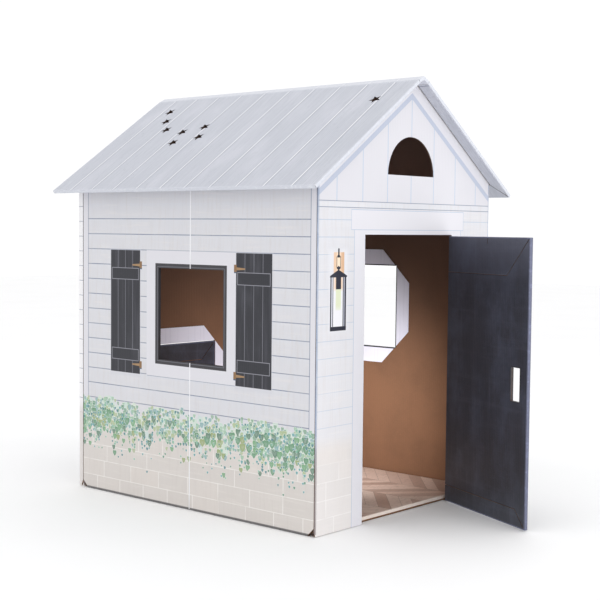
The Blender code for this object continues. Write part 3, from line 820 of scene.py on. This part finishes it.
def add_liner(sheets, loops, normal, kind):
    """A sheet of paper LINER thick whose outer side has these outlines."""
    flat = [point for loop in loops for point in loop]
    count = len(flat)
    back = [point - normal * LINER for point in flat]
    faces = []
    for a, b, c in tessellate_polygon(loops):
        if (flat[b] - flat[a]).cross(flat[c] - flat[a]).dot(normal) < 0:
            a, c = c, a
        faces.append((a, b, c))
        faces.append((c + count, b + count, a + count))
    base = 0
    for loop in loops:
        for step in range(len(loop)):
            a, b = base + step, base + (step + 1) % len(loop)
            faces.append((b, a, a + count, b + count))
        base += len(loop)
    sheets.add(flat + back, faces, kind)


def crossings(loops, place):
    """Where a line at u = place crosses the outlines, as pairs of v from low to high."""
    found = []
    for loop in loops:
        for start, end in zip(loop, loop[1:] + loop[:1]):
            if (start[0] > place) != (end[0] > place):
                share = (place - start[0]) / (end[0] - start[0])
                found.append(start[1] + (end[1] - start[1]) * share)
    found.sort()
    return list(zip(found[::2], found[1::2]))


def add_core(sheets, loops, across, along, normal, depth, kind):
    """The fluted medium: a wave of paper that fills the board between its two liners."""
    flat = [[(point.dot(across), point.dot(along)) for point in loop] for loop in loops]
    low = min(point[0] for loop in flat for point in loop)
    high = max(point[0] for loop in flat for point in loop)
    step = FLUTE_PITCH / FLUTE_STEPS
    sheet = LINER * 0.9
    swing = (BOARD - 2 * LINER - sheet) / 2 - 0.00002
    middle = depth - BOARD / 2
    inset = 0.0004
    columns = int((high - low - inset) / step)
    chains = {}

    def close(chain):
        if len(chain) < 2:
            return
        points, faces = [], []
        for place, (v0, v1), height in chain:
            for v, lift in ((v0, sheet / 2), (v1, sheet / 2), (v0, -sheet / 2), (v1, -sheet / 2)):
                points.append(across * place + along * v + normal * (height + lift))
        for index in range(len(chain) - 1):
            a, b = 4 * index, 4 * index + 4
            faces += [(a, b, b + 1, a + 1), (a + 2, a + 3, b + 3, b + 2)]
            faces += [(a, a + 2, b + 2, b), (a + 1, b + 1, b + 3, a + 3)]
        last = 4 * (len(chain) - 1)
        faces += [(0, 1, 3, 2), (last, last + 2, last + 3, last + 1)]
        sheets.add(points, faces, kind, smooth=True)

    for column in range(columns + 1):
        place = low + inset / 2 + column * step
        height = middle + swing * math.sin(2 * math.pi * place / FLUTE_PITCH)
        spans = [(v0 + inset, v1 - inset) for v0, v1 in crossings(flat, place) if v1 - v0 > 3 * inset]
        kept = {}
        for number, span in enumerate(spans):
            chain = chains.pop(number, None)
            if chain:
                before = chain[-1][1]
                if max(abs(span[0] - before[0]), abs(span[1] - before[1])) > 8 * step:
                    close(chain)
                    chain = None
            kept[number] = (chain or []) + [(place, span, height)]
        for chain in chains.values():
            close(chain)
        chains = kept
    for chain in chains.values():
        close(chain)


def corrugated(node, outward, flutes, printed, inner, body):
    """Replaces a CAD slab by layered board. outward is roughly its printed side."""
    loops, normal = face_loops(node, outward)
    back_loops, _ = face_loops(node, -normal)
    along = (flutes - normal * flutes.dot(normal)).normalized()
    across = along.cross(normal)
    depth = loops[0][0].dot(normal)
    sheets = Sheets()
    add_liner(sheets, loops, normal, 0)
    add_liner(sheets, back_loops, -normal, 1)
    add_core(sheets, back_loops, across, along, normal, depth, 2)
    board = sheets.object(f"{node}_board", [MATERIALS[name] for name in (printed, inner, "core")])
    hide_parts(node)
    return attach(board, body)


BEND_RADIUS = 0.0013
BEND_LAP = 0.0035
BEND_PROUD = -0.0001
BEND_LIFT = 0.00006
LAP_LIFT = 0.00004
FOLD_PAPER = 0.0003
FOLD_STRETCH = 0.05


def bend_profile(depth):
    """The bend of the paper round a doubled edge, as (beyond the edge, above the face) pairs."""
    points = [(-BEND_LAP, LAP_LIFT)]
    for turn in np.linspace(90, 0, 5):
        angle = math.radians(turn)
        reach = BEND_PROUD - BEND_RADIUS + BEND_RADIUS * math.cos(angle)
        points.append((reach, BEND_RADIUS * (math.sin(angle) - 1) + BEND_LIFT))
    return points + [(reach, -depth - height) for reach, height in reversed(points)]


def strip(name, points, faces, material, smooth=False):
    """One closed body as a piece of its own."""
    sheets = Sheets()
    sheets.add(points, faces, 0, smooth)
    made = sheets.object(name, [MATERIALS[material]])
    return made


def folded_edge(name, start, end, normal, material, body, depth=DOUBLED, trim=0.0):
    """The paper wrapped round a doubled edge. The edge lies on the panel's outer face.

    Seen from outside, the panel is on the left of the way from start to end.
    """
    way = (end - start).normalized()
    edge = way.cross(normal)
    start, end = start + way * trim, end - way * trim
    length = (end - start).length
    outer = bend_profile(depth)
    inner = []
    for index, (reach, height) in enumerate(outer):
        drawn = FOLD_PAPER if 0 < index < len(outer) - 1 else 0.0
        inner.append((reach - drawn, height + (FOLD_PAPER if height < -depth / 2 else -FOLD_PAPER)))
    ring = outer + inner[::-1]
    steps = max(2, int(length / FOLD_STRETCH))
    points = []
    for step in range(steps + 1):
        along = length * step / steps
        waver = 0.00005 * (math.sin(along * 61.0) + math.sin(along * 143.0))
        for reach, height in ring:
            points.append(start + way * along + edge * (reach + waver) + normal * height)
    made = strip(name, points, tube_faces(len(ring), steps), material)
    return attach(made, body)


WELT_WIDTH = 0.0042
WELT_HEIGHT = 0.00045
WELT_ROOT = 0.0002
WELT_STRETCH = 0.04


def crease(name, start, end, normal, material, body):
    """The low round welt of a crease that bends little: a rounded bead with a pressed middle."""
    way = (end - start).normalized()
    side = way.cross(normal)
    section = [(WELT_WIDTH / 2, -WELT_ROOT), (-WELT_WIDTH / 2, -WELT_ROOT)]
    for turn in np.linspace(180, 0, 9):
        angle = math.radians(turn)
        dip = 0.35 * math.exp(-((math.cos(angle) / 0.28) ** 2))
        section.append((math.cos(angle) * WELT_WIDTH / 2, (math.sin(angle) - dip) * WELT_HEIGHT))
    length = (end - start).length
    steps = max(2, int(length / WELT_STRETCH))
    points = []
    for step in range(steps + 1):
        along = length * step / steps
        swell = 1.0 + 0.10 * math.sin(along * 37.0) + 0.06 * math.sin(along * 91.0)
        for reach, lift in section:
            points.append(start + way * along + side * reach * swell + normal * lift)
    made = strip(name, points, tube_faces(len(section), steps), material, smooth=True)
    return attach(made, body)


SKIN_REACH = 0.0036
SKIN_PAPER = 0.0002
SKIN_LIFT = 0.00012
SKIN_SINK = 0.00035
SKIN_STRETCH = 0.04


def fold_skin(name, line, first, second, material, slot):
    """The outer paper over a crease that two bodies share.

    first and second each hold the way from the crease over that body's face, the face's normal
    and the body's name, which is not used.
    """
    start, end = line
    (way_a, out_a, body_a), (way_b, out_b, body_b) = first, second
    mean = (out_a + out_b).normalized()
    section = []
    for share in np.linspace(-1.0, 1.0, 11):
        way, out = (way_a, out_a) if share < 0 else (way_b, out_b)
        sink = SKIN_SINK * math.exp(-((share / 0.22) ** 2))
        lift = SKIN_LIFT * (1 - share**2)
        section.append(way * (abs(share) * SKIN_REACH) + out * lift - mean * sink)
    steps = max(2, int((end - start).length / SKIN_STRETCH))
    points = []
    for step in range(steps + 1):
        centre = start.lerp(end, step / steps)
        points += [centre + offset for offset in section]
        points += [centre + offset - mean * SKIN_PAPER for offset in reversed(section)]
    ring = 2 * len(section)
    faces = tube_faces(ring, steps)
    if (points[ring] - points[0]).cross(points[1] - points[0]).dot(mean) < 0:
        faces = [face[::-1] for face in faces]
    skin = strip(name, points, faces, material)
    middle = start.lerp(end, 0.5)
    middle + way_a * SKIN_REACH
    middle + way_b * SKIN_REACH
    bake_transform(skin)
    return skin


# ---------------------------------------------------------------- the house

UP = Vector((0, 0, 1))
BEHIND = Vector((0, 1, 0))
LEFTWARD = Vector((-1, 0, 0))
OUTWARD = {"front": -BEHIND, "back": BEHIND, "left": LEFTWARD, "right": -LEFTWARD}
DOOR_OUT = Vector((math.sin(DOOR_OPEN), -math.cos(DOOR_OPEN), 0))
DOOR_WAY = Vector((-math.cos(DOOR_OPEN), -math.sin(DOOR_OPEN), 0))
HATCH_WAY = Vector((1, 0, 0))
FOLD_TONES = {
    "white_fold": (238, 238, 242),
    "roof_fold": (206, 209, 218),
    "dark_fold": (98, 102, 126),
    "black_fold": (48, 47, 52),
    "cream_fold": (236, 222, 212),
}
# How much shorter than its edge a fold's paper is, at each end
CORNER_NOTCH = 0.007
OPENING_TRIM = 0.0004
LEAF_TRIM = 0.0006
MAT_TRIM = 0.0005
SLOPE_TRIM = 0.001
RIDGE_TRIM = 0.0005

MATERIALS = {
    "core": kraft_print("core_kraft", (150, 112, 80), "y"),
    "kraft_x": kraft_print("kraft_x", flute="x"),
    "kraft_y": kraft_print("kraft_y", flute="y"),
    "front": gable_print("front_print", True),
    "back": gable_print("back_print", False),
    "left": side_wall_print("left_print"),
    "right": side_wall_print("right_print"),
    "flap": flap_print(),
    "window_hem": window_hem_print("window_hem_print"),
    "roof": roof_print("roof_print"),
    "charcoal": charcoal_print("charcoal_print"),
    "door_front": charcoal_print("door_front_print", panels=True),
    "door_inner": charcoal_print("door_inner_print", hems=True),
    "floor": floor_print(),
    "corner_fold": corner_fold_print(),
}
for fold_name, tone in FOLD_TONES.items():
    MATERIALS[fold_name] = plain_print(fold_name, tone)


def build_walls():
    """The walls with their hems and middle creases, and the lap flap."""
    kraft = "kraft_x"
    hem = "window_hem"
    for side in ("front", "back"):
        corrugated(f"{side}_wall", OUTWARD[side], UP, side, kraft, "walls")
    for part in ("top", "left", "right"):
        node = f"back_opening_hem_{part}"
        corrugated(node, OUTWARD["front"], UP, hem, kraft, "walls")
    kraft = "kraft_y"
    for side in ("left", "right"):
        out = OUTWARD[side]
        for half in ("front", "rear"):
            corrugated(f"{side}_wall_{half}", out, UP, side, kraft, "walls")
            for part in ("head", "sill", "jamb"):
                node = f"{side}_window_hem_{part}_{half}"
                corrugated(node, -out, UP, hem, kraft, "walls")
        for low, high, part in ((0.0, WINDOW_SILL, "lower"), (WINDOW_HEAD, WALL_TOP, "upper")):
            bottom = Vector((out.x * HALF_WIDTH, 0, low + 0.001))
            top = Vector((out.x * HALF_WIDTH, 0, high - 0.001))
            name = f"{side}_wall_{part}_crease"
            crease(name, bottom, top, out, "white_fold", "walls")
    flap_out = Vector((-math.cos(CORNER_FLAP_TURN), math.sin(CORNER_FLAP_TURN), 0))
    node = "rear_left_corner_flap"
    corrugated(node, flap_out, UP, "flap", kraft, "corner_flap")


def build_corner_folds():
    """The printed paper carried round the four corners of the walls."""
    fold = "corner_fold"
    for side, y in (("front", FRONT), ("back", BACK)):
        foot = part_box(f"{side}_wall")[0].z
        for part, x in (("left", -HALF_WIDTH), ("right", HALF_WIDTH)):
            low, high = Vector((x, y, foot)), Vector((x, y, WALL_TOP))
            if (x < 0) != (side == "back"):
                low, high = high, low
            folded_edge(
                f"{side}_{part}_corner_fold", low, high, OUTWARD[side], fold, "walls",
                depth=BOARD, trim=CORNER_NOTCH,
            )


def build_window_folds():
    """The paper round the windows' doubled edges."""
    half, sill, head = WINDOW_HALF, WINDOW_SILL, WINDOW_HEAD
    for side in ("left", "right"):
        out = OUTWARD[side]
        along = UP.cross(out)
        corners = [
            Vector((out.x * HALF_WIDTH, 0, v)) + along * u
            for u, v in ((-half, sill), (-half, head), (half, head), (half, sill))
        ]
        for part, start, end in zip(("near", "head", "far", "sill"), corners, corners[1:] + corners[:1]):
            folded_edge(
                f"{side}_window_fold_{part}", start, end, out, "black_fold", "walls",
                trim=OPENING_TRIM,
            )


def build_leaf(prefix, body, hinge, way, out, panel_print, charcoal):
    """A door leaf: its boards, and the paper round its doubled edges."""
    kraft = "kraft_y"
    corrugated(f"{prefix}_panel", out, UP, panel_print, kraft, body)
    for part in ("hem_top", "hem_bottom", "lining"):
        corrugated(f"{prefix}_{part}", -out, UP, charcoal, kraft, body)
    low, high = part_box(f"{prefix}_panel")
    near, far = 0.002, DOOR_REACH[prefix]
    foot = Vector((hinge.x, hinge.y, 0))
    outline = ((near, high.z), (far, high.z), (far, low.z), (near, low.z))
    corners = [foot + way * along + UP * height for along, height in outline]
    if way.cross(UP).dot(out) > 0:
        corners = corners[::-1]
    for part, start, end in zip(("a", "free", "b"), corners, corners[1:]):
        folded_edge(
            f"{prefix}_fold_{part}", start, end, out, "dark_fold", body,
            trim=LEAF_TRIM,
        )
    _, *holes = sorted(face_loops(f"{prefix}_panel", out)[0], key=lambda loop: -loop_size(loop))
    for hole in (hole for hole in holes if loop_size(hole) > 0.05):
        for number, (start, end) in enumerate(zip(hole, hole[1:] + hole[:1])):
            folded_edge(
                f"{prefix}_grip_fold_{number}", start, end, out, "black_fold", body,
                trim=OPENING_TRIM,
            )


def build_floor():
    """The mat with its ends folded under, and the four flaps that lie below it."""
    planks = "floor"
    corrugated("floor_mat", UP, BEHIND, planks, "kraft_x", "floor")
    low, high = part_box("floor_mat")
    left, right = Vector((low.x, 0, high.z)), Vector((high.x, 0, high.z))
    ends = (("front", low.y, left, right), ("rear", high.y, right, left))
    for part, y, start, end in ends:
        node = f"floor_mat_{part}_fold"
        corrugated(node, -UP, BEHIND, planks, "kraft_x", "floor")
        folded_edge(
            f"floor_mat_{part}_edge", start + BEHIND * y, end + BEHIND * y, UP,
            "cream_fold", "floor", trim=MAT_TRIM,
        )
    for side in ("front", "back", "left", "right"):
        lengthwise = side in ("front", "back")
        kraft = "kraft_x" if lengthwise else "kraft_y"
        flutes = BEHIND if lengthwise else LEFTWARD
        corrugated(f"{side}_bottom_flap", UP, flutes, kraft, kraft, f"{side}_flap")


def roof_line(x, z):
    """A line along the roof, as its front and its back end."""
    return Vector((x, ROOF_LOW.y, z)), Vector((x, ROOF_HIGH.y, z))


def build_roof():
    """Two slopes and the two narrow bands of the ridge, with their hems, folds and creases."""
    kraft = "kraft_y"
    metal = "roof"
    fold = "roof_fold"
    inward = BEHIND * 0.002
    ridge_front, ridge_back = roof_line(0.0, RIDGE.z)
    ridge_sides = []
    for name, side in (("right", 1), ("left", -1)):
        crease_front, crease_back = roof_line(side * SLOPE_CREASE.x, SLOPE_CREASE.z)
        eave_front, eave_back = roof_line(side * EAVE, EAVE_HEIGHT)
        slope, slope_way = f"slope_{name}", (eave_front - crease_front).normalized()
        band, band_way = f"ridge_{name}", (crease_front - ridge_front).normalized()
        slope_out = Vector((-side * slope_way.z, 0, abs(slope_way.x)))
        band_out = Vector((-side * band_way.z, 0, abs(band_way.x)))
        ends = ("front_hem", "rear_hem")
        for prefix, panel, out, way, body, hems in (
            (f"roof_{name}", f"roof_{name}_slope", slope_out, slope_way, slope, (*ends, "eave_hem")),
            (f"ridge_{name}", f"ridge_band_{name}", band_out, band_way, band, ends),
        ):
            corrugated(panel, out, way, metal, kraft, body)
            for part in hems:
                corrugated(f"{prefix}_{part}", -out, way, metal, kraft, body)
        for part, start, end, out, body, trim in (
            ("eave", eave_front, eave_back, slope_out, slope, SLOPE_TRIM),
            ("rear_verge", eave_back, crease_back, slope_out, slope, SLOPE_TRIM),
            ("front_verge", crease_front, eave_front, slope_out, slope, SLOPE_TRIM),
            ("ridge_rear", crease_back, ridge_back, band_out, band, RIDGE_TRIM),
            ("ridge_front", ridge_front, crease_front, band_out, band, RIDGE_TRIM),
        ):
            if side < 0:
                start, end = end, start
            folded_edge(f"{name}_{part}_fold", start, end, out, fold, body, trim=trim)
        fold_skin(
            f"{name}_slope_crease_skin", (crease_front + inward, crease_back - inward),
            (-band_way, band_out, band), (slope_way, slope_out, slope), fold, "roof_board",
        )
        ridge_sides.append((band_way, band_out, band))
    line = (ridge_front + inward, ridge_back - inward)
    fold_skin("ridge_crease_skin", line, *ridge_sides, fold, "roof_board")


def build_hinge_skins():
    """The outer paper that runs over the creases of the front door and the back hatch."""
    for label, hinge, wall, leaf in (
        ("door", DOOR_HINGE, (-LEFTWARD, OUTWARD["front"], "walls"), (DOOR_WAY, DOOR_OUT, "front_door")),
        ("hatch", HATCH_HINGE, (LEFTWARD, OUTWARD["back"], "walls"),
         (HATCH_WAY, OUTWARD["back"], "back_hatch")),
    ):
        low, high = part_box(f"{label}_panel")
        foot = Vector((hinge.x, hinge.y, 0))
        line = (foot + UP * (low.z + 0.001), foot + UP * (high.z - 0.001))
        fold_skin(f"{label}_crease_skin", line, wall, leaf, "white_fold", "door_board")


build_walls()
build_corner_folds()
build_window_folds()
build_leaf(
    "door", "front_door", DOOR_HINGE, DOOR_WAY, DOOR_OUT,
    "door_front", "door_inner",
)
build_leaf(
    "hatch", "back_hatch", HATCH_HINGE, HATCH_WAY, OUTWARD["back"],
    "charcoal", "charcoal",
)
build_floor()
build_roof()
build_hinge_skins()

# ---------------------------------------------------------------- studio

GROUND_HALF = 14.0
GROUND_DROP = 0.0008
WORLD_LIGHT = 1.03
# Each light: name, place, what it faces, size, power and the angle it spreads over
LIGHTS = (
    ("key", (-0.6, -4.6, 0.5), (0, 0, 0.1), 2.2, 58.0, 180),
    ("doorway", (-0.12, -0.36, 0.40), (0.39, 0.22, 0.14), 0.32, 2.1, 95),
    ("top", (0.0, -1.0, 5.5), (0, 0, 0.0), 5.0, 30.0, 180),
)

CAMERA_PLACE = (-2.8308, -2.5316, 0.7990)
CAMERA_AZIMUTH = math.radians(48.898)
CAMERA_ELEVATION = math.radians(-3.257)
CAMERA_ROLL = math.radians(0.544)
CAMERA_LENS = 74.611


def studio():
    """A pale floor, a white surround, two large soft lights and a small one inside the doorway."""
    mesh = bpy.data.meshes.new("studio_floor")
    half = GROUND_HALF
    corners = [(-half, -half), (half, -half), (half, half), (-half, half)]
    mesh.from_pydata([(x, y, -GROUND_DROP) for x, y in corners], [], [(0, 1, 2, 3)])
    ground = bpy.data.objects.new("studio_floor", mesh)
    bpy.context.scene.collection.objects.link(ground)
    ink = Ink("studio_floor", (250.46, 250.46, 251.04), 0.7)
    ink.shade(ink.noise(1.5, 2.0), 0.4, 0.8, 0.02)
    mesh.materials.append(ink.done())
    world = bpy.data.worlds.new("studio")
    world.use_nodes = True
    background = world.node_tree.nodes["Background"]
    background.inputs["Color"].default_value = (1.0, 1.0, 1.0, 1.0)
    background.inputs["Strength"].default_value = WORLD_LIGHT
    bpy.context.scene.world = world
    bpy.context.scene.view_settings.view_transform = "Standard"
    for name, place, target, size, power, spread in LIGHTS:
        light = bpy.data.lights.new(name, "AREA")
        light.shape = "SQUARE"
        light.size = size
        light.energy = power
        light.spread = math.radians(spread)
        lamp = bpy.data.objects.new(name, light)
        bpy.context.scene.collection.objects.link(lamp)
        lamp.location = place
        lamp.visible_camera = False
        way = Vector(target) - Vector(place)
        lamp.rotation_euler = way.to_track_quat("-Z", "Y").to_euler()


def camera():
    """The photo's own view of the house."""
    data = bpy.data.cameras.new("camera")
    data.lens = CAMERA_LENS
    data.sensor_width = 36.0
    data.clip_end = 60.0
    seat = bpy.data.objects.new("camera", data)
    bpy.context.scene.collection.objects.link(seat)
    azimuth, elevation = CAMERA_AZIMUTH, CAMERA_ELEVATION
    level = math.cos(elevation)
    ahead = Vector((math.sin(azimuth) * level, math.cos(azimuth) * level, math.sin(elevation)))
    right = Vector((math.cos(azimuth), -math.sin(azimuth), 0))
    above = right.cross(ahead)
    cos_roll, sin_roll = math.cos(CAMERA_ROLL), math.sin(CAMERA_ROLL)
    rolled_right = right * cos_roll + above * sin_roll
    rolled_above = above * cos_roll - right * sin_roll
    turn = Matrix((rolled_right, rolled_above, -ahead)).transposed().to_4x4()
    seat.matrix_world = Matrix.Translation(CAMERA_PLACE) @ turn
    bpy.context.scene.camera = seat


studio()
camera()
